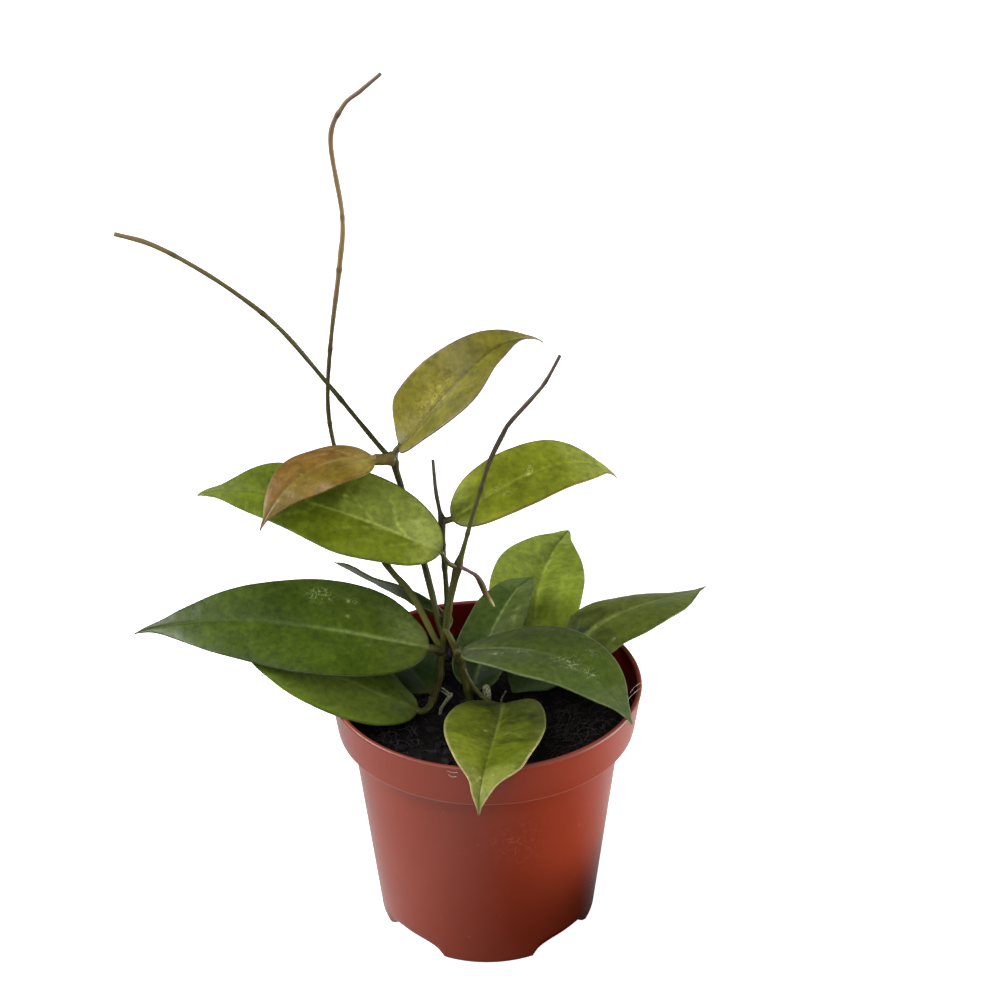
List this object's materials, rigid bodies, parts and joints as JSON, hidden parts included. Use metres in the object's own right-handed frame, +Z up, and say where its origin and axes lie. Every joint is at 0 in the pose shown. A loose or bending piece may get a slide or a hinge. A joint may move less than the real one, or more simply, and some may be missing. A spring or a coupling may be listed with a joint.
{
  "type": "potted hoya plant",
  "caption": "Young wax plant with thick pointed leaves on climbing stems, rooted in potting mix in a tapered round nursery pot with a wide rim and drainage holes.",
  "frame": {"origin": "middle of the pot's flat base, on the surface it stands on", "axes": "+Z up; -Y towards the front, where the heart-shaped leaf hangs over the rim; +X to the right"},
  "size_m": [0.1974, 0.1556, 0.2974],
  "materials": {
    "pot_plastic": "satin",
    "potting_mix": "matte",
    "vine_stem": "satin",
    "young_shoot": "satin",
    "dry_stub": "matte",
    "leaf_bronze": "satin",
    "leaf_olive": "satin",
    "leaf_green": "satin",
    "leaf_lime": "satin",
    "leaf_deep_green": "satin",
    "leaf_shaded": "satin",
    "leaf_olive_green": "satin",
    "leaf_yellow_green": "satin",
    "leaf_light_green": "satin",
    "leaf_blue_green": "satin"
  },
  "bodies": {
    "root": {"pot": "pot_plastic", "potting_mix": "potting_mix", "vine_main": "vine_stem", "vine_left": "vine_stem", "vine_tall": "vine_stem", "vine_middle": "vine_stem", "vine_right": "vine_stem", "vine_hidden": "vine_stem", "young_shoot": "young_shoot", "stub_cut": "dry_stub", "stub_forked": "dry_stub", "sprig_dry": "dry_stub", "leaf_bronze_left": "leaf_bronze", "leaf_olive_upper": "leaf_olive", "leaf_green_left": "leaf_green", "leaf_lime_right": "leaf_lime", "leaf_low_left": "leaf_deep_green", "leaf_lowest_left": "leaf_deep_green", "leaf_edge_on_back": "leaf_shaded", "leaf_drooping_right": "leaf_deep_green", "leaf_far_right": "leaf_olive_green", "leaf_heart_front": "leaf_yellow_green", "leaf_rear_light": "leaf_light_green", "leaf_upright_dark": "leaf_blue_green", "leaf_low_back": "leaf_shaded", "leaf_low_right": "leaf_shaded"}
  },
  "joints": []
}
